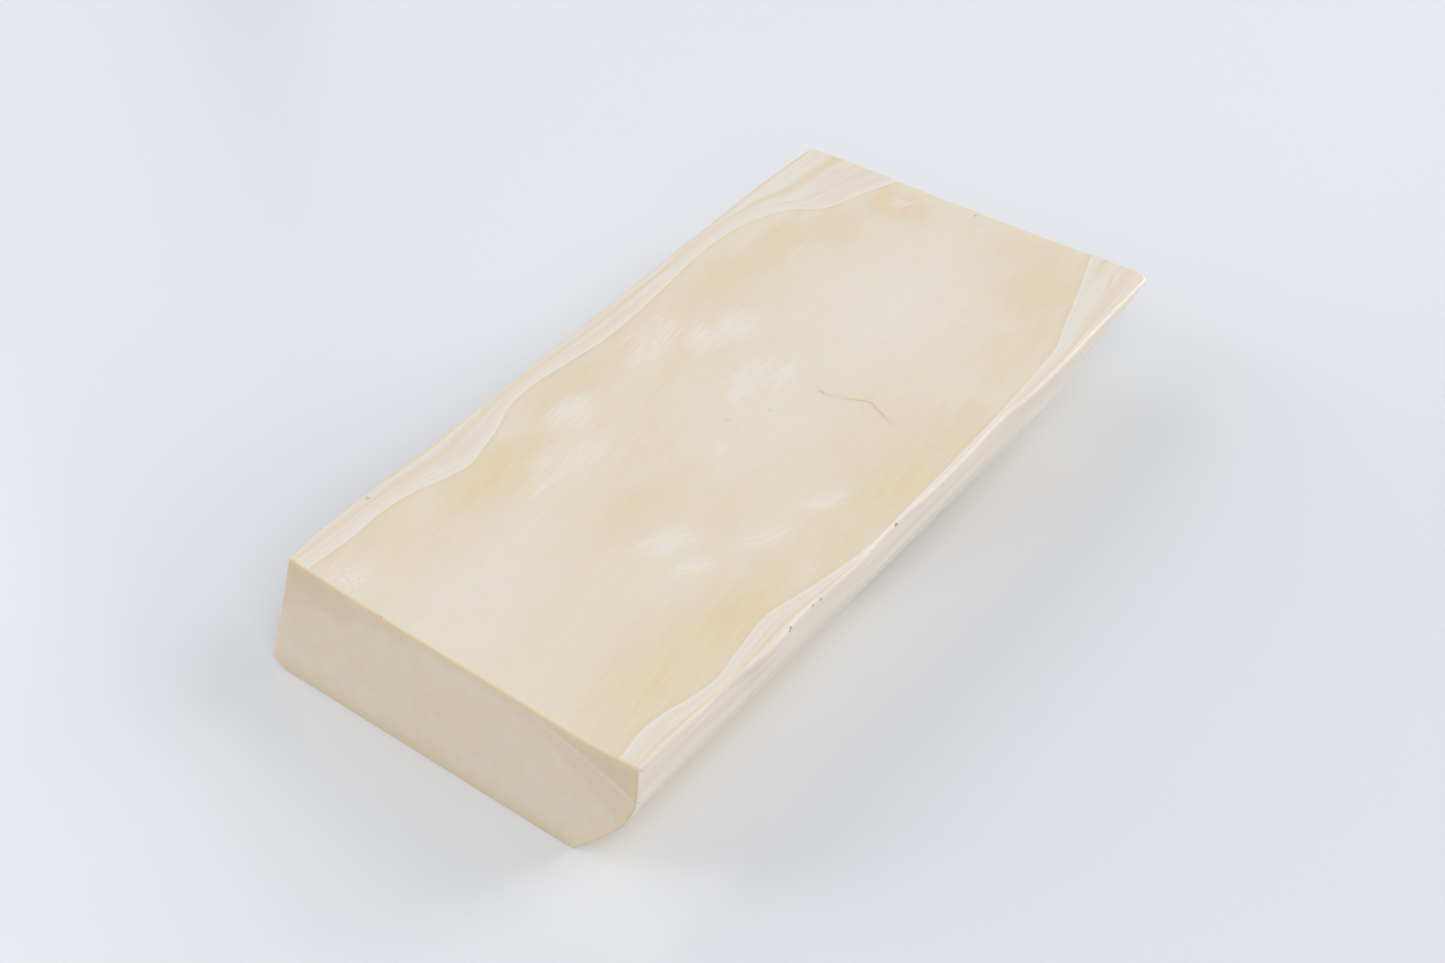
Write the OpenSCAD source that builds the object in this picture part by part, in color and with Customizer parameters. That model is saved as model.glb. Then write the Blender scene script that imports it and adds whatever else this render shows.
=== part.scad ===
// Bone folder: a hand-cut wedge of solid bone for creasing and burnishing paper.
// The thick end fills the palm and the thin end lays the crease. It is one piece of bone, sawn from
// the side of a larger round, so every flat face is a saw cut and one lower corner keeps the
// natural curve of the outside of the bone.
// X runs along the length towards the thin tip, Y across the width, Z up from the table.

/* [Top face] */
// Length of the top face along its middle, from the thick end to the tip
top_l = 109.5; // [90:0.5:140]
// Width of the top face, the same all along
top_w = 54; // [44:0.5:68]

/* [Thickness] */
// Thickness of the thick end
heel_t = 18; // [14:0.5:24]
// Thickness left at the middle of the thin tip edge
tip_t = 1; // [0.6:0.1:3]
// Length of the flat that the folder rests on, behind the rising underside
foot_l = 44; // [30:0.5:56]

/* [Saw cuts] */
// Lean of the thick end's face, with its foot standing out
heel_lean = 5.7; // [0:0.1:10]
// Skew of the thick end's face across the width
heel_skew = 1.2; // [-4:0.1:4]
// Skew of the tip edge across the width
tip_skew = 2.1; // [-4:0.1:4]
// Lean of the sawn flank on the +Y side, with its foot standing out
flank_lean = 11.3; // [0:0.1:16]

/* [Corners] */
// Width of the small flat that breaks the sawn flank's foot
break_w = 2.6; // [0.5:0.1:5]
// Height of that small flat
break_h = 0.9; // [0.3:0.1:2]
// Height of the straight band at the top of the -Y flank
band_h = 5.7; // [3:0.1:8]
// How far the natural curve would cut into the foot on the -Y side if it ran on down to it
bark_in = 8.1; // [4:0.1:14]
// Radius of the natural curve of the bone's outside
bark_r = 28; // [22:1:45]
// How far the flat that trims the lower half of that curve cuts into the foot
trim_in = 8.8; // [4.5:0.1:15]
// Slope of that flat from upright
trim_slope = 42; // [38:0.5:50]
// Radius of the worn tip corner on the -Y side
corner_r = 1.5; // [0.5:0.1:4]

/* [Hidden] */
$fn = 360;

// Room that every cutter has past the bone
margin = 20;
// How far a cutter's own edge stays past the last point that it cuts
lap = 1;

half_w = top_w / 2;

// The sawn flank's foot stands this far out from the top edge
flank_foot = (heel_t - break_h) * tan(flank_lean);

// The natural curve runs between these two points of the section, [across, up]
bark_top = [-half_w, heel_t - band_h];
bark_foot = [-half_w + bark_in, 0];
bark_chord = norm(bark_top - bark_foot);
bark_middle = (bark_top + bark_foot) / 2;
// Unit vector from the chord towards the inside of the bone
bark_inward = [bark_top[1] - bark_foot[1], bark_foot[0] - bark_top[0]] / bark_chord;
// The curve leaves the band inwards by at least this angle, so it never stands out past the band
least_turn = 2;
bark_slope = atan2(bark_in, heel_t - band_h);
bark_round = max(bark_r, bark_chord / 2 / sin(bark_slope - least_turn));
bark_centre = bark_middle + bark_inward * sqrt(bark_round * bark_round - bark_chord * bark_chord / 4);

// The foot's edge on the -Y side stands this far in from the top edge
foot_in = max(bark_in, trim_in);

// Where the underside leaves the foot, and how steeply it rises from there to the tip
ramp_x = foot_l - heel_t * tan(heel_lean);
ramp_rise = atan((heel_t - tip_t) / (top_l - ramp_x));

// The worn tip corner is a round that stands this far proud of the two faces that it joins, so it
// meets each of them at an edge
proud = 0.02;
corner_y = -half_w + corner_r - proud;
corner_x = top_l - (corner_r - proud) / cos(tip_skew) - corner_y * tan(tip_skew);
corner_turn = acos(1 - proud / corner_r) - tip_skew;

// The thick end's lowest corner and the worn tip corner are the two ends of the whole piece
heel_x = -heel_t * tan(heel_lean) - (half_w - foot_in) * tan(heel_skew);
tip_x = corner_x + corner_r * cos(corner_turn);
middle_x = (heel_x + tip_x) / 2;
middle_y = flank_foot / 2;

// The section of the sawn block, across the width, as [across, up]
module block_section() {
    polygon([
        [-half_w, 0],
        [-half_w, heel_t],
        [half_w, heel_t],
        [half_w + flank_foot, break_h],
        [half_w + flank_foot - break_w, 0]
    ]);
}

// The part of the section's lower corner that lies outside the natural curve
module bark_waste() {
    difference() {
        translate([-half_w - margin, -margin])
            square([bark_in + margin + lap, heel_t - band_h + margin + lap]);
        translate(bark_centre)
            circle(r = bark_round);
    }
}

// What the flat takes off below the natural curve
module trim_waste() {
    translate([-half_w + trim_in, 0])
        rotate(trim_slope)
            translate([-margin, -margin])
                square([margin, 3 * margin]);
}

// The block with its section running the whole length, longer than the finished piece
module sawn_block() {
    translate([-margin, 0, 0])
        rotate([90, 0, 90])
            linear_extrude(height = top_l + 2 * margin)
                difference() {
                    block_section();
                    bark_waste();
                    trim_waste();
                }
}

// Everything on the far side of a saw cut through the origin that faces -X
module waste_behind() {
    reach = top_l + 2 * margin;
    translate([-reach, -reach / 2, -reach / 2])
        cube(reach);
}

// The waste beyond the thick end's face
module heel_waste() {
    translate([0, 0, heel_t])
        rotate([0, heel_lean, -heel_skew])
            waste_behind();
}

// The waste beyond the tip edge
module tip_waste() {
    translate([top_l, 0, 0])
        rotate([0, 0, 180 + tip_skew])
            waste_behind();
}

// The waste below the rising underside
module ramp_waste() {
    translate([ramp_x, 0, 0])
        rotate([0, -ramp_rise, 0])
            translate([-margin, -top_w, -heel_t - margin])
                cube([top_l + 2 * margin, 2 * top_w, heel_t + margin]);
}

// The waste outside the worn tip corner
module corner_waste() {
    translate([corner_x, corner_y, -margin])
        linear_extrude(height = heel_t + 2 * margin)
            difference() {
                translate([0, -margin])
                    square(margin);
                circle(r = corner_r);
            }
}

module folding_blade() {
    color([0.89, 0.85, 0.77])
        translate([-middle_x, -middle_y, 0])
            difference() {
                sawn_block();
                heel_waste();
                tip_waste();
                ramp_waste();
                corner_waste();
            }
}

folding_blade();
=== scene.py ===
import math

import bpy
import numpy as np
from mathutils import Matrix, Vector


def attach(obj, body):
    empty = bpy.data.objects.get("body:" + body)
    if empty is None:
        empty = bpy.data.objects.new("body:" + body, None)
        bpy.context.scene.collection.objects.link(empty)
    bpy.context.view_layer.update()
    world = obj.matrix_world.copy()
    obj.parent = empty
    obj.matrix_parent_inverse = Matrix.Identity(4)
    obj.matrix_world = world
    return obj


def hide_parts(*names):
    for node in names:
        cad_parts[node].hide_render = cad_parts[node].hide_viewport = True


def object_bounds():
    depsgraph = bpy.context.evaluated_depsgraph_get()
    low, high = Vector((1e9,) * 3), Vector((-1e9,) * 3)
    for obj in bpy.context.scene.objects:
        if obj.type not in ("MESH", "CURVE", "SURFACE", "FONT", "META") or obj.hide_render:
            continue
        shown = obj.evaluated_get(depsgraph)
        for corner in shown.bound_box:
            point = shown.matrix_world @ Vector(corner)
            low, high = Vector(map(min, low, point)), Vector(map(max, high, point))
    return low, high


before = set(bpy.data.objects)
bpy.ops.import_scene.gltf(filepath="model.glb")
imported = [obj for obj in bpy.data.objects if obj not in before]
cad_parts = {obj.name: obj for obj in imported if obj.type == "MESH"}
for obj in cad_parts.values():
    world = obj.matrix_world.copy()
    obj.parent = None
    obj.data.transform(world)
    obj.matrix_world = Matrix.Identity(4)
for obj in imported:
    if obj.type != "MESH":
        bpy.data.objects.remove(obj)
cad_low, cad_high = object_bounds()
mm = 0.001

# ------------------------------------------------------------------------------------------
# The folder: one wedge of white bone, hand-sawn from the side of a larger round and sanded by
# hand. Its cuts meet at softly worn edges. One lower corner keeps the bone's own curve, trimmed
# flat at its foot. Nothing is fixed to it: the heel fills the palm and the thin tip creases.

top_l = 109.5 * mm
top_w = 54 * mm
heel_t = cad_high.z - cad_low.z
tip_t = 1 * mm
foot_l = 44 * mm
heel_lean = math.radians(5.7)
heel_skew = math.radians(1.2)
tip_skew = math.radians(2.1)
flank_lean = math.radians(11.3)
break_w = 2.6 * mm
break_h = 0.9 * mm
band_h = 5.7 * mm
bark_in = 8.1 * mm
bark_r = 28 * mm
trim_in = 8.8 * mm
trim_slope = math.radians(42)
corner_r = 1.5 * mm

bark_y = cad_low.y
sawn_y = bark_y + top_w
middle_y = bark_y + top_w / 2
top_z = cad_high.z
heel_x = cad_low.x + heel_t * math.tan(heel_lean) + (top_w / 2 - trim_in) * math.tan(heel_skew)
tip_x = heel_x + top_l
ramp_x = heel_x + foot_l - heel_t * math.tan(heel_lean)
ramp_rise = math.atan((heel_t - tip_t) / (tip_x - ramp_x))
flank_foot = (heel_t - break_h) * math.tan(flank_lean)

# Centre of the bone's own curve, which runs from the foot of the band down to the flat foot
chord_top = Vector((bark_y, top_z - band_h))
chord_foot = Vector((bark_y + bark_in, cad_low.z))
chord = chord_foot - chord_top
inward = Vector((-chord.y, chord.x)).normalized()
chord_to_centre = math.sqrt(bark_r ** 2 - chord.length_squared / 4)
bark_centre = (chord_top + chord_foot) / 2 + inward * chord_to_centre


def between(low, high, share):
    return low + (high - low) * share


def ramp_z(x):
    """Height of the underside: flat at the foot, then rising to the tip."""
    return np.maximum(cad_low.z, cad_low.z + (x - ramp_x) * math.tan(ramp_rise))


def bark_edge(z):
    """Where the naturally curved flank is at a height, with its lower half trimmed flat."""
    drop = np.minimum(z, chord_top.y) - bark_centre.y
    curve = bark_centre.x - np.sqrt(bark_r ** 2 - drop ** 2)
    trim = bark_y + trim_in - (z - cad_low.z) * math.tan(trim_slope)
    return np.where(z < chord_top.y, np.maximum(curve, trim), bark_y)


def sawn_edge(z):
    """Where the sawn flank is at a height, with its foot broken by a small flat."""
    flank = sawn_y + (top_z - z) * math.tan(flank_lean)
    broken = sawn_y + flank_foot - break_w * (1 - (z - cad_low.z) / break_h)
    return np.minimum(flank, broken)


def fine_at_ends(steps, ease):
    """Shares of a length from 0 to 1, close together at both ends, where the worn edges are."""
    share = np.linspace(0, 1, steps + 1)
    return share - ease * np.sin(2 * np.pi * share) / (2 * np.pi)


def beyond(p, at, facing):
    """How far each point lies outside a flat saw cut."""
    facing = np.array(facing) / np.linalg.norm(facing)
    return (p - np.array(at)) @ facing


def through(stations, x):
    """A smooth line through a few stations, each (place along the folder, value)."""
    places, values = np.array(stations, float).T
    slopes = np.gradient(values, places)
    i = np.clip(np.searchsorted(places, x) - 1, 0, len(places) - 2)
    width = places[i + 1] - places[i]
    t = np.clip((x - places[i]) / width, 0, 1)
    return (values[i] * (1 + 2 * t) * (1 - t) ** 2 + values[i + 1] * t * t * (3 - 2 * t)
            + slopes[i] * width * t * (1 - t) ** 2 - slopes[i + 1] * width * t * t * (1 - t))


# The hand work, as shares of the length or width against millimetres: how far each upper edge
# stands out from its straight line, and how far the top is sanded down at the heel
bark_bow = [(0, 0), (0.08, 0.3), (0.15, 0.3), (0.21, 0.9), (0.26, 0.45), (0.36, 0.75), (0.45, 0.45),
            (0.52, 0.7), (0.6, 0.6), (0.66, 0.3), (0.75, 0.9), (0.9, 0.5), (1, 0.35)]
sawn_bow = [(0, 0), (0.06, 0.5), (0.13, 0.55), (0.2, 0.3), (0.45, 0.35), (0.62, 0.45), (0.8, 0.6),
            (0.92, 0.55), (1, 0.1)]
heel_bow = [(0, 0.4), (0.1, 0.75), (0.3, 0.55), (0.5, 0.4), (0.7, 0.3), (0.9, 0.12), (1, 0)]
heel_foot_out = 0.4 * mm
tip_bow = [(0, 0.45), (0.06, 0.42), (0.2, 0.1), (0.5, 0), (0.7, 0.15), (0.86, 0.45), (1, 0.1)]
hollow_depth = 0.35 * mm
heel_hollow = 0.3 * mm

# How round the wear has made the edges, and how much rounder they are close to the bark side
edge_wear = 0.2 * mm
bark_wear = 0.1 * mm
bark_top_wear = 0.2 * mm
bark_wear_reach = 3 * mm


def bow(stations, share):
    return through(stations, np.clip(share, 0, 1)) * mm


def sanded_top(x, y):
    """Height of the top, which is dished a little by the sanding."""
    along = np.clip((x - heel_x) / top_l, 0, 1)
    side = np.clip((y - middle_y) / (top_w / 2), -1, 1)
    depth = hollow_depth * np.sin(np.pi * along) ** 0.7 + heel_hollow * (1 - along) ** 6
    return top_z - depth * (1 - side ** 2)


def near_top(z, reach):
    """1 at the top, falling smoothly to 0 at a depth below it."""
    share = np.clip(1 - (top_z - z) / reach, 0, 1)
    return share * share * (3 - 2 * share)


def bark_out(x, z):
    return bow(bark_bow, (x - heel_x) / top_l) * near_top(z, band_h)


def sawn_out(x, z):
    return bow(sawn_bow, (x - heel_x) / top_l) * near_top(z, heel_t)


def heel_out(y, z):
    return between(heel_foot_out, bow(heel_bow, (y - bark_y) / top_w), near_top(z, heel_t))


def tip_out(y):
    return bow(tip_bow, (y - bark_y) / top_w)


def sharp_block(along, across, up):
    """The wedge before wear, as points whose place along, across and up is given as shares.

    The sides lean, so a point's three measures depend on each other and settle over a few rounds.
    """
    x = between(heel_x, tip_x, along)
    y = between(bark_y, sawn_y, across)
    for _ in range(12):
        z = between(ramp_z(x), sanded_top(x, y), up)
        y = between(bark_edge(z) - bark_out(x, z), sawn_edge(z) + sawn_out(x, z), across)
        heel = heel_x - (top_z - z) * math.tan(heel_lean) + (y - middle_y) * math.tan(heel_skew)
        tip = tip_x - (y - middle_y) * math.tan(tip_skew)
        x = between(heel - heel_out(y, z), tip + tip_out(y), along)
    return np.stack([x, y, z], axis=1)


def saw_cuts(p):
    """How far each point lies outside each cut that shapes the wedge."""
    x, y, z = p.T
    from_centre = np.hypot(y - bark_centre.x, z - bark_centre.y)
    flank = beyond(p, (0, sawn_y, top_z), (0, 1, math.tan(flank_lean)))
    heel = beyond(p, (heel_x, middle_y, top_z), (-1, math.tan(heel_skew), math.tan(heel_lean)))
    tip = beyond(p, (tip_x, middle_y, top_z), (1, math.tan(tip_skew), 0))
    return {
        "top": z - sanded_top(x, y),
        "band": bark_y - bark_out(x, z) - y,
        "curve": np.where(y < bark_centre.x, from_centre - bark_r, -bark_r),
        "trim": beyond(p, (0, bark_y + trim_in, cad_low.z), (0, -1, -math.tan(trim_slope))),
        "flank": flank - sawn_out(x, z),
        "flank_foot": beyond(p, (0, sawn_y + flank_foot, cad_low.z + break_h), (0, break_h, -break_w)),
        "foot": cad_low.z - z,
        "ramp": beyond(p, (ramp_x, 0, cad_low.z), (math.tan(ramp_rise), 0, -1)),
        "heel": heel - heel_out(y, z),
        "tip": tip - tip_out(y),
    }


def rounded(radius, *cuts):
    """Cuts that meet in a round edge, as one."""
    cuts = np.stack(cuts) + radius
    past = np.sqrt((np.maximum(cuts, 0) ** 2).sum(axis=0))
    return past + np.minimum(np.max(cuts, axis=0), 0) - radius


def outside(p):
    """How far each point lies outside the worn wedge: below zero inside it."""
    cuts = saw_cuts(p)
    near_bark = np.clip(1 - (p[:, 1] - bark_y) / bark_wear_reach, 0, 1)
    more_wear = bark_wear + bark_top_wear * near_top(p[:, 2], bark_wear_reach)
    wear = edge_wear + more_wear * near_bark
    corner = rounded(corner_r, cuts.pop("band"), cuts.pop("tip"))
    return rounded(wear, corner, *cuts.values())


def worn(p):
    """Moves each point of the sharp wedge onto the worn surface, a step down the slope at a time."""
    step = 0.01 * mm
    least_steepness = 0.2
    for _ in range(6):
        slope = np.stack([
            (outside(p + step * axis) - outside(p - step * axis)) / (2 * step)
            for axis in np.eye(3)
        ], axis=1)
        steepness = np.maximum((slope ** 2).sum(axis=1), least_steepness)
        p = p - slope * (outside(p) / steepness)[:, None]
    return p


def shell_of_block(steps_along, steps_across, steps_up):
    """The six sides of a block as one closed skin of quads."""
    size = (steps_along + 1, steps_across + 1, steps_up + 1)
    i, j, k = np.indices(size)
    skin = (i % steps_along == 0) | (j % steps_across == 0) | (k % steps_up == 0)
    number = np.full(size, -1)
    number[skin] = np.arange(skin.sum())
    quads = []
    for axis in range(3):
        for end in (0, -1):
            sheet = np.take(number, end, axis=axis)
            a, b, c, d = sheet[:-1, :-1], sheet[1:, :-1], sheet[1:, 1:], sheet[:-1, 1:]
            ring = [a, b, c, d] if (end == -1) != (axis == 1) else [d, c, b, a]
            quads.append(np.stack(ring, axis=-1).reshape(-1, 4))
    shares = (
        fine_at_ends(steps_along, 0.8)[i[skin]],
        fine_at_ends(steps_across, 0.8)[j[skin]],
        fine_at_ends(steps_up, 0.75)[k[skin]],
    )
    return shares, np.concatenate(quads)


shares, quads = shell_of_block(steps_along=260, steps_across=112, steps_up=34)
surface = worn(sharp_block(*shares))
blade_mesh = bpy.data.meshes.new("folding_blade")
blade_mesh.from_pydata(surface.tolist(), [], quads.tolist())
blade_mesh.shade_smooth()
blade = bpy.data.objects.new("folding_blade", blade_mesh)
bpy.context.scene.collection.objects.link(blade)

# What the bone looks like at each point, worked out in millimetres from the heel's upper edge,
# the middle of the width and the table, and kept on the mesh for the material to read
place = (surface - np.array([heel_x, middle_y, cad_low.z])) / mm
along, across, height = place.T
share = along * mm / top_l
below_top = (top_z - cad_low.z) / mm - height
half_w = top_w / 2 / mm


def keep(name, values):
    made = blade_mesh.attributes.new(name, "FLOAT", "POINT")
    made.data.foreach_set("value", np.ascontiguousarray(values, dtype=np.float32))


depth = {name: -cut / mm for name, cut in saw_cuts(surface).items()}
faces = {
    "in_top": depth["top"],
    "in_bark": np.minimum(np.minimum(depth["band"], depth["curve"]), depth["trim"]),
    "in_sawn": np.minimum(depth["flank"], depth["flank_foot"]),
    "in_foot": np.minimum(depth["foot"], depth["ramp"]),
    "in_heel": depth["heel"],
    "in_tip": depth["tip"],
}
for name, values in faces.items():
    keep(name, values)

# A point on one face is as far from the nearest edge as it is deep in the next nearest face
keep("from_edge", np.sort(np.stack(list(faces.values())), axis=0)[1])

# The two growth lines that wander along the sides of the top, as insets in mm from its straight
# edges against the share of the length. The layers they belong to lean outwards as they go down,
# so they come out again on the flanks. A "line" value is how far a point lies inside its growth
# line, and a "rim" value is how far out it lies through the layers beyond.
sawn_inset = through([
    (0, 3), (0.06, 3.4), (0.14, 3.4), (0.175, 4.1), (0.21, 5.4), (0.24, 6.1), (0.27, 5.4), (0.31, 4.2),
    (0.345, 2.7), (0.38, 2.3), (0.44, 2.9), (0.5, 3.7), (0.6, 3.5), (0.65, 3), (0.71, 2.4), (0.76, 2.5),
    (0.8, 3.2), (0.835, 4.6), (0.865, 6.6), (0.885, 9.4), (0.91, 10.9), (0.945, 12.1), (1, 14.8),
], share)
bark_inset = through([
    (0, 2.8), (0.03, 3.3), (0.07, 2.9), (0.1, 2), (0.14, 1.4), (0.17, 1.9), (0.2, 2.4), (0.23, 2.9),
    (0.26, 2.7), (0.29, 1.9), (0.325, 1.1), (0.36, 0.4), (0.4, -0.1), (0.46, 0), (0.6, 0.3), (0.7, 0.7),
    (0.78, 1.3), (0.83, 2), (0.86, 3.2), (0.9, 4.5), (0.94, 5.9), (1, 8.1),
], share)
sawn_line = half_w - sawn_inset + 0.5 * below_top - across
bark_line = half_w - bark_inset + 0.7 * below_top + across
keep("sawn_line", sawn_line)
keep("bark_line", bark_line)
keep("sawn_rim", -sawn_line / (sawn_inset + 0.5) + below_top / 5)
keep("bark_rim", -bark_line / (bark_inset + 0.9) + below_top / 4)


def patches(spots, turn=0):
    """Soft oval patches on the top, each (along, across, half length, half width, strength)."""
    total = np.zeros_like(along)
    c, s = math.cos(math.radians(turn)), math.sin(math.radians(turn))
    for x, y, length, width, strength in spots:
        u = ((along - x) * c + (across - y) * s) / length
        v = ((across - y) * c - (along - x) * s) / width
        total = np.maximum(total, strength * np.exp(-u * u - v * v))
    return total


ochre = patches([
    (26, 18, 11, 5, 1), (12, 17, 10, 7, 0.6), (44, 20, 12, 4, 0.5), (60, 19, 12, 4, 0.6),
    (77, 20, 11, 4.5, 0.65), (94, 13, 7, 6, 0.8), (88, 18, 8, 5, 0.8), (104, 9, 4, 7, 1),
    (106, 0, 3, 6, 0.5), (26, -22, 10, 6, 1), (11, -21, 10, 7, 0.7), (40, -24, 10, 5, 0.7),
    (53, -24, 10, 5, 0.85), (68, -24, 10, 4, 0.7), (84, -21, 11, 6, 0.55), (98, -17, 9, 5.5, 0.75),
    (33, 1, 12, 8, 0.38), (46, 8, 11, 7, 0.5), (40, -8, 10, 6, 0.4), (20, -7, 8, 6, 0.35),
    (60, 12, 11, 8, 0.5), (70, -12, 10, 7, 0.4), (106, -12, 5, 10, 0.5),
])
beside_line = np.exp(-np.maximum(np.minimum(sawn_line, bark_line), 0) / 3)
keep("ochre", np.maximum(ochre, 0.45 * beside_line + 0.4 * ochre))
keep("cream", patches([
    (84, -3, 19, 10, 1), (75, -9, 9, 5, 0.5), (9, 6, 11, 9, 0.8), (57, -4, 8, 6, 0.55),
    (18, 12, 8, 3, 0.3),
]))
keep("scuff", np.maximum.reduce([
    patches([
        (68.5, 11.3, 3.7, 3.6, 0.95), (63.8, 13.7, 3.5, 3.5, 0.92), (60, 18, 7.5, 4, 0.75),
        (60.5, 3.3, 5.4, 2.2, 0.92), (64.3, 0, 3.7, 1.7, 1.05), (47.4, -2.2, 1.1, 1, 1),
    ], 10),
    patches([(41.6, 17.4, 4.5, 3, 0.95), (29, 11.2, 3.4, 1, 0.95), (36, 11, 9, 4.5, 0.55)], -3),
]))
keep("cross_scuff", np.maximum.reduce([
    patches([
        (30.2, -7.4, 4.2, 2.4, 1), (28, -12, 3.4, 1.3, 1), (47, -18, 4.4, 1.6, 0.85),
        (38, -16.2, 4.2, 1.6, 0.8),
    ], -28),
    patches([(105, 9.2, 1.6, 2.2, 0.85), (105, -1, 2, 6, 0.3)], 38),
]))
keep("speckled", patches([(2.8, 18.8, 2.4, 3, 1)]))

# How far each point is from the hair crack, and from the one long scratch out of the heel
crack_across = [-19.5, -18.3, -17.8, -17.2, -16, -14, -12.3, -11.5, -9, -6.5]
crack_along = [63.8, 64, 64.7, 64.2, 64.5, 65.2, 66.2, 66, 65.2, 64.2]
keep("crack", along - np.interp(across, crack_across, crack_along))
scratch_end = 26
out_of_scratch = np.where((along > 0) & (along < scratch_end), 1, 40)
keep("scratch", (across - 6.9 - 0.045 * along) * out_of_scratch)

bone = bpy.data.materials.new("bone")
bone.use_nodes = True
nodes, links = bone.node_tree.nodes, bone.node_tree.links
skin = nodes["Principled BSDF"]


def node(kind, inputs=(), **settings):
    """A new node with its settings, each input a plain value or another node's output."""
    made = nodes.new(kind)
    for name, value in settings.items():
        setattr(made, name, value)
    for name, value in dict(inputs).items():
        if isinstance(value, bpy.types.NodeSocket):
            links.new(value, made.inputs[name])
        else:
            made.inputs[name].default_value = value
    return made


def math_of(operation, a, b=0.0):
    return node("ShaderNodeMath", {0: a, 1: b}, operation=operation).outputs[0]


def times(a, b):
    return math_of("MULTIPLY", a, b)


def plus(a, b):
    return math_of("ADD", a, b)


def swayed(value, by, reach):
    """A value moved up and down by a grain, whose middle is a half."""
    return plus(value, times(math_of("SUBTRACT", by, 0.5), reach))


def apart(a, b):
    """The distance that two measures at right angles make."""
    return math_of("SQRT", plus(math_of("POWER", a, 2.0), math_of("POWER", b, 2.0)))


def kept(name):
    """What was kept on the mesh under a name."""
    return node("ShaderNodeAttribute", attribute_name=name).outputs["Fac"]


def rise(value, low, high, least=0.0, most=1.0):
    """A smooth step from least to most while the value goes from low to high."""
    return node("ShaderNodeMapRange", {
        "Value": value, "From Min": low, "From Max": high, "To Min": least, "To Max": most,
    }, interpolation_type="SMOOTHSTEP").outputs["Result"]


def stripe(value, middle, half):
    """1 on a line, falling smoothly to 0 at half its width either side."""
    return rise(math_of("ABSOLUTE", math_of("SUBTRACT", value, middle)), half, 0)


def tint(share, under, over):
    """One colour laid over another by a share."""
    made = node("ShaderNodeMix", data_type="RGBA")
    for index, value in ((0, share), (6, under), (7, over)):
        if isinstance(value, bpy.types.NodeSocket):
            links.new(value, made.inputs[index])
        else:
            made.inputs[index].default_value = value if index == 0 else (*value, 1)
    return made.outputs[2]


def spread(x, y, z):
    """A place made of three numbers, for a grain to be read at."""
    return node("ShaderNodeCombineXYZ", {"X": x, "Y": y, "Z": z}).outputs[0]


def grain(where, scale=1.0, detail=2.0, bend=0.0):
    return node("ShaderNodeTexNoise", {
        "Vector": where, "Scale": scale, "Detail": detail, "Distortion": bend,
    }).outputs["Fac"]


def laid(where, degrees, size):
    """A place read so that a grain has a size in mm along each axis, turned about the upright one."""
    return node("ShaderNodeMapping", {
        "Vector": where, "Rotation": (0, 0, math.radians(degrees)), "Scale": size,
    }, vector_type="TEXTURE").outputs[0]


spot = node("ShaderNodeTexCoord").outputs["Object"]
here = node("ShaderNodeVectorMath", {0: spot, 3: 1 / mm}, operation="SCALE").outputs[0]
x, y, z = node("ShaderNodeSeparateXYZ", {0: here}).outputs[:3]
on_top = rise(kept("in_top"), 0.25, 0.05)
on_heel = rise(kept("in_heel"), 0.25, 0.05)
on_bark = rise(kept("in_bark"), 0.25, 0.05)
on_sawn = rise(kept("in_sawn"), 0.25, 0.05)
on_foot = rise(kept("in_foot"), 0.25, 0.05)

# The body of the bone: cream in the middle, ochre towards the growth lines, in lengthwise grain
cloud = grain(laid(here, 0, (26, 12, 12)), detail=3)
fibre = grain(laid(here, 4, (8, 1.8, 1.8)), detail=3, bend=0.8)
hair = grain(laid(here, 9, (7, 0.3, 0.3)), detail=2)
mottle = grain(here, 0.55, detail=3)
body = tint(rise(cloud, 0.35, 0.65), (0.775, 0.71, 0.58), (0.765, 0.685, 0.54))
warm = swayed(times(kept("ochre"), 0.95), fibre, 1.1)
warm = swayed(warm, cloud, 0.9)
body = tint(rise(warm, 0.0, 1.15), body, (0.765, 0.615, 0.41))
body = tint(times(kept("cream"), rise(fibre, 0.2, 0.5)), body, (0.785, 0.73, 0.645))
body = tint(rise(hair, 0.4, 0.75, 0, 0.4), body, (0.785, 0.715, 0.60))
body = tint(rise(mottle, 0.5, 0.75, 0, 0.3), body, (0.76, 0.66, 0.51))
cross_hair = grain(laid(here, -27, (7, 0.3, 0.3)), detail=2)
body = tint(rise(cross_hair, 0.5, 0.75, 0, 0.22), body, (0.785, 0.725, 0.62))

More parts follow.
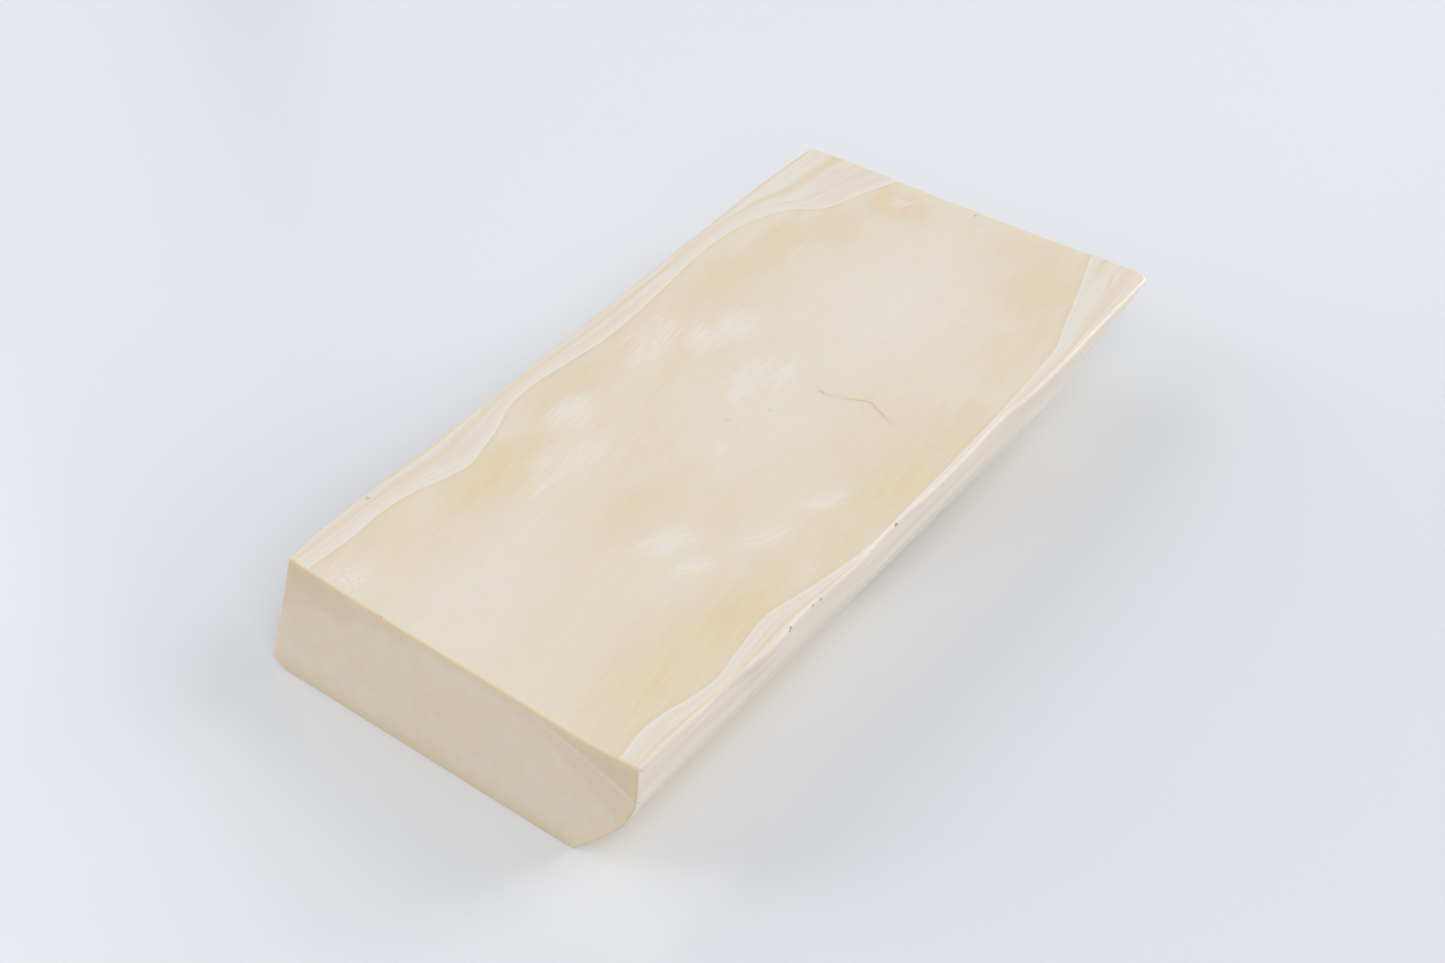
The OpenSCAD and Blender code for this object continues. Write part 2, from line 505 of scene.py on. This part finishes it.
# The rims outside the growth lines and the flanks below them: whitish layers, thin tan ones between
white = (0.785, 0.735, 0.65)
pink = (0.775, 0.69, 0.60)
tan = (0.755, 0.635, 0.46)
for side, seed, on_flank in (("sawn", 3.0, on_sawn), ("bark", 11.0, on_bark)):
    line = kept(side + "_line")
    rim = swayed(kept(side + "_rim"), fibre, 0.12)
    through_layers = spread(times(x, 0.05), plus(times(rim, 3.1), seed), times(z, 0.02))
    layer = grain(through_layers, detail=3, bend=0.3)
    thin = grain(spread(times(x, 0.04), plus(times(rim, 17), seed), 0.0), detail=3)
    banded = tint(rise(layer, 0.42, 0.58), pink, white)
    banded = tint(rise(thin, 0.53, 0.64, 0, 0.7), banded, tan)
    banded = tint(rise(thin, 0.47, 0.38, 0, 0.7), banded, (0.795, 0.755, 0.68))
    last_layer = times(stripe(rim, 0.66, 0.12), rise(layer, 0.3, 0.6, 0.2, 0.7))
    banded = tint(last_layer, banded, (0.755, 0.62, 0.43))
    body = tint(rise(line, 0.1, -0.1), body, banded)
    pale = times(rise(line, 0.05, -0.1), rise(line, -1.6, -0.1))
    crisp = times(rise(line, 0.05, -0.08), rise(line, -0.42, -0.2))
    body = tint(times(times(pale, on_top), 0.55), body, (0.785, 0.74, 0.665))
    body = tint(times(times(crisp, on_top), 0.85), body, (0.805, 0.775, 0.72))
    shade = times(times(stripe(line, 0.3, 0.45), on_top), rise(fibre, 0.3, 0.6, 0.1, 0.5))
    body = tint(shade, body, (0.74, 0.61, 0.42))
    level = swayed(plus(times(z, -0.28), times(rim, 0.1)), fibre, 0.3)
    sheet = grain(spread(times(x, 0.02), plus(times(level, 1.6), seed), 0.0), detail=3)
    thread = grain(spread(times(x, 0.03), plus(times(level, 9), seed), 0.0), detail=3)
    flank = tint(rise(sheet, 0.4, 0.6), (0.745, 0.66, 0.575), (0.785, 0.72, 0.64))
    flank = tint(rise(thread, 0.54, 0.70, 0, 0.45), flank, (0.765, 0.65, 0.50))
    flank = tint(rise(thread, 0.46, 0.34, 0, 0.5), flank, (0.795, 0.755, 0.69))
    body = tint(on_flank, body, flank)

# A thin line of dirt just under the bark-side edge, over part of the length
dirt_reach = times(rise(x, -42, -34), rise(x, -4, -14))
dirt_line = times(stripe(plus(z, times(mottle, 0.8)), 16.9, 0.28), times(on_bark, dirt_reach))
body = tint(times(dirt_line, 0.5), body, (0.66, 0.54, 0.40))

# Painted glow: the underside and low bark flank are lighter and yellower, to warm the table
underside_glow = math_of("MAXIMUM", times(on_foot, rise(x, -16, -8)), times(on_bark, rise(z, 6.5, 4.5)))
body = tint(times(underside_glow, rise(fibre, 0.2, 0.6, 0.6, 1.0)), body, (0.84, 0.705, 0.46))

# Sanding scuffs: short white streaks that run with the strokes
for mask, angle in (("scuff", 8), ("cross_scuff", -27)):
    strokes = grain(laid(here, angle, (4.5, 0.4, 2)), detail=3)
    chalky = rise(swayed(times(kept(mask), 1.5), strokes, 2.6), 0.3, 1.5)
    chalky = times(chalky, times(rise(kept(mask), 0.1, 0.3), rise(strokes, 0.3, 0.6, 0.65, 0.95)))
    body = tint(times(times(chalky, on_top), 0.78), body, (0.82, 0.77, 0.715))

# A speckled patch at the heel corner, and the one long scratch
dots = grain(here, 2.2, detail=1)
body = tint(times(times(kept("speckled"), rise(dots, 0.5, 0.62)), on_top), body, (0.81, 0.76, 0.69))
body = tint(times(times(stripe(kept("scratch"), 0, 0.22), on_top), 0.5), body, (0.80, 0.76, 0.69))

# The hair crack, brown where dirt has gone in
crack_reach = times(rise(y, -19.8, -18.8), rise(y, -6.2, -7.5))
crack_breaks = rise(grain(here, 0.35, detail=0), 0.35, 0.5)
wander = swayed(kept("crack"), grain(here, 0.5, detail=2), 0.9)
crack = times(times(stripe(wander, 0, 0.2), crack_reach), times(on_top, crack_breaks))
stain = times(times(stripe(wander, 0, 0.9), crack_reach), on_top)
body = tint(times(stain, 0.3), body, (0.73, 0.60, 0.42))
body = tint(times(crack, 0.75), body, (0.60, 0.46, 0.27))

# The sawn heel: end grain in fine arcs around a centre below the table, crossed near the bark
# side by a fan of others. It is darker outside one long arc and along the bottom.
arc_y = plus(y, 3.7)
squeeze = plus(0.825, times(math_of("TANH", times(arc_y, -0.17)), 0.175))
ring = apart(times(arc_y, squeeze), plus(z, 17.0))
fan_ring = apart(plus(y, 34.0), plus(z, 6.0))
arcs = math_of("SINE", times(plus(ring, times(mottle, 1.8)), 9.5))
fan = math_of("SINE", times(plus(fan_ring, times(mottle, 2.2)), 8.0))
fine_arcs = times(times(plus(arcs, times(fan, rise(y, -25, -17))), 0.6), rise(y, 8, -12))
end_grain = tint(rise(grain(here, 0.35, detail=4), 0.35, 0.65), (0.745, 0.645, 0.495), (0.76, 0.67, 0.53))
ragged = swayed(ring, grain(here, 0.25, detail=3), 2.0)
end_grain = tint(times(rise(ragged, 32.8, 34.6), 0.55), end_grain, (0.70, 0.575, 0.42))
outer = plus(ring, times(plus(y, 20.0), 0.25))
at_corner = rise(y, -11, -19)
end_grain = tint(times(times(rise(outer, 36.6, 37.2), at_corner), 0.5), end_grain, (0.68, 0.53, 0.35))
end_grain = tint(times(times(stripe(outer, 36.5, 0.35), at_corner), 0.4), end_grain, (0.80, 0.73, 0.61))
end_grain = tint(rise(fine_arcs, 0.0, 0.9, 0, 0.22), end_grain, (0.80, 0.735, 0.62))
end_grain = tint(times(stripe(z, 4.2, 2.2), 0.35), end_grain, (0.785, 0.71, 0.575))
end_grain = tint(times(rise(z, 2.2, 0.4), 0.65), end_grain, (0.72, 0.58, 0.38))
corner = math_of("MINIMUM", rise(y, 12, 26), rise(z, 12, 17.5))
end_grain = tint(times(corner, 0.5), end_grain, (0.64, 0.50, 0.32))
near_edge = math_of("MAXIMUM", rise(kept("in_top"), 1.0, 0.2), rise(kept("in_bark"), 1.3, 0.2))
end_grain = tint(times(near_edge, 0.5), end_grain, (0.77, 0.62, 0.40))
body = tint(on_heel, body, end_grain)

# Every edge is rubbed to a thin ochre line, fainter on the bark side
rubbed = times(rise(kept("from_edge"), 0.45, 0.05), rise(kept("in_bark"), 0.3, 1.2, 0.1, 1.0))
rubbed = times(rubbed, rise(grain(here, 0.3, detail=2), 0.3, 0.6, 0.3, 0.65))
body = tint(rubbed, body, (0.76, 0.60, 0.38))

# Specks of dirt caught in the surface, mostly along the bark-side edge. Each is given by its
# place along from the heel, across from the middle and up, its size, and how dark it is.
crumbs = grain(here, 2.5, detail=2)
specks = [
    (52.5, 0.5, 17.6, 0.5, 0.15), (57.4, -2.6, 17.6, 0.35, 0.12), (0.1, 11.6, 17.7, 0.3, 0.25),
    (108.6, -0.8, 18, 0.35, 0.3), (14.1, 26.8, 18, 0.4, 0.3), (-0.3, -26.9, 17.1, 0.3, 0.6),
    (26.8, -27.8, 17.6, 0.5, 0.9), (31.6, -27.7, 17.6, 0.3, 0.75), (33, -27.6, 17.6, 0.3, 0.75),
    (49, -27.5, 17.6, 0.35, 0.8), (-0.9, -27, 12.3, 0.3, 0.75), (16, -24.5, 5.5, 0.4, 0.75),
]
for speck_x, speck_y, speck_z, radius, darkness in specks:
    centre = (heel_x / mm + speck_x, middle_y / mm + speck_y, speck_z)
    away = node("ShaderNodeVectorMath", {0: here, 1: centre}, operation="DISTANCE").outputs["Value"]
    dirt = rise(swayed(away, crumbs, 0.9), radius, radius * 0.4, 0, darkness)
    body = tint(dirt, body, (0.27, 0.18, 0.08))
links.new(body, skin.inputs["Base Color"])

# Satin from hand sanding, duller where it is scuffed or sawn
scratches = grain(laid(here, 8, (9, 0.15, 0.15)), detail=2)
criss = grain(laid(here, -30, (7, 0.17, 0.17)), detail=2)
dull = plus(0.38, times(scratches, 0.14))
dull = plus(dull, times(math_of("MAXIMUM", kept("scuff"), kept("cross_scuff")), 0.12))
dull = plus(dull, times(math_of("MAXIMUM", on_heel, on_foot), 0.12))
links.new(dull, skin.inputs["Roughness"])
skin.inputs["Subsurface Weight"].default_value = 0.25
skin.inputs["Subsurface Radius"].default_value = (1.0, 0.6, 0.35)
skin.inputs["Subsurface Scale"].default_value = 1.5 * mm

# Fine relief: hand scratches on every side, and saw marks on the foot, the sawn flank and the heel
kerf = grain(spread(times(x, 2.5), times(y, 0.15), times(z, 0.15)), detail=2)
kerf_heel = grain(laid(here, 0, (3, 3, 0.3)), detail=2)
relief = plus(times(scratches, 0.35), times(criss, 0.2))
relief = plus(relief, times(times(kerf, math_of("MAXIMUM", on_foot, on_sawn)), 0.8))
relief = plus(relief, times(times(kerf_heel, on_heel), 0.6))
relief = math_of("SUBTRACT", relief, times(crack, 1.5))
bump = node("ShaderNodeBump", {"Height": relief, "Strength": 0.35, "Distance": 0.04 * mm})
links.new(bump.outputs[0], skin.inputs["Normal"])
blade.data.materials.append(bone)

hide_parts("folding_blade")
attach(blade, "root")

# ------------------------------------------------------------------------------------------
# The table: a plain white sheet that the folder lies on, wide enough to fill every view.

table_mesh = bpy.data.meshes.new("table")
half_table = 3.0
corners = [(-1, -1), (1, -1), (1, 1), (-1, 1)]
table_mesh.from_pydata([(i * half_table, j * half_table, 0) for i, j in corners], [], [(0, 1, 2, 3)])
table = bpy.data.objects.new("table", table_mesh)
table.location.z = cad_low.z
bpy.context.scene.collection.objects.link(table)
white_sheet = bpy.data.materials.new("white_sheet")
white_sheet.use_nodes = True
sheet = white_sheet.node_tree.nodes["Principled BSDF"]
sheet.inputs["Base Color"].default_value = (0.78, 0.80, 0.84, 1)
sheet.inputs["Roughness"].default_value = 0.2
sheet.inputs["IOR"].default_value = 1.7
table.data.materials.append(white_sheet)

# ------------------------------------------------------------------------------------------
# The light: a ring of large soft boxes around the folder in a dim room, stronger from the sides.
# Each is square, hangs at one distance and faces the folder from its own direction.

world = bpy.data.worlds.new("room")
bpy.context.scene.world = world
world.use_nodes = True
room = world.node_tree.nodes["Background"]
room.inputs["Color"].default_value = (0.93, 0.96, 1.0, 1)
room.inputs["Strength"].default_value = 0.17

box_distance = 0.9
soft_boxes = [
    # name, azimuth and elevation in degrees, width in metres, power in watts
    ("heel_box", -45, 45, 0.6, 3.1),
    ("side_box", 45, 45, 0.6, 2.6),
    ("low_box", 60, 9, 0.4, 4.6),
    ("tip_box", 120, 20, 0.6, 0.8),
    ("back_box", 165, 20, 0.6, 0.9),
    ("far_box", 210, 20, 0.6, 2.6),
    ("left_box", 255, 20, 0.6, 0.5),
    ("high_back_box", 170, 50, 0.4, 0.8),
    ("high_far_box", 225, 50, 0.4, 0.8),
]


def direction(azimuth, elevation):
    """The way from the folder to something seen at an azimuth and an elevation in degrees."""
    a, e = math.radians(azimuth), math.radians(elevation)
    return Vector((math.sin(a) * math.cos(e), -math.cos(a) * math.cos(e), math.sin(e)))


for name, azimuth, elevation, width, power in soft_boxes:
    data = bpy.data.lights.new(name, "AREA")
    data.shape = "SQUARE"
    data.size = width
    data.energy = power
    towards = direction(azimuth, elevation)
    lamp = bpy.data.objects.new(name, data)
    lamp.location = towards * box_distance
    lamp.rotation_euler = (-towards).to_track_quat("-Z", "Y").to_euler()
    bpy.context.scene.collection.objects.link(lamp)
bpy.context.scene.view_settings.view_transform = "Standard"

# ------------------------------------------------------------------------------------------
# The camera: it looks down at the heel and the bark-side flank.

view_azimuth = -53.3
view_elevation = 41.5
view_distance = 324 * mm
back = direction(view_azimuth, view_elevation)
aim = (cad_low + cad_high) / 2 + Vector((-1.8, -0.45, -1.9)) * mm
camera = bpy.data.objects.new("camera", bpy.data.cameras.new("camera"))
camera.data.lens = 62.3
camera.data.clip_start = 10 * mm
camera.location = aim + back * view_distance
camera.rotation_euler = (-back).to_track_quat("-Z", "Y").to_euler()
bpy.context.scene.collection.objects.link(camera)
bpy.context.scene.camera = camera
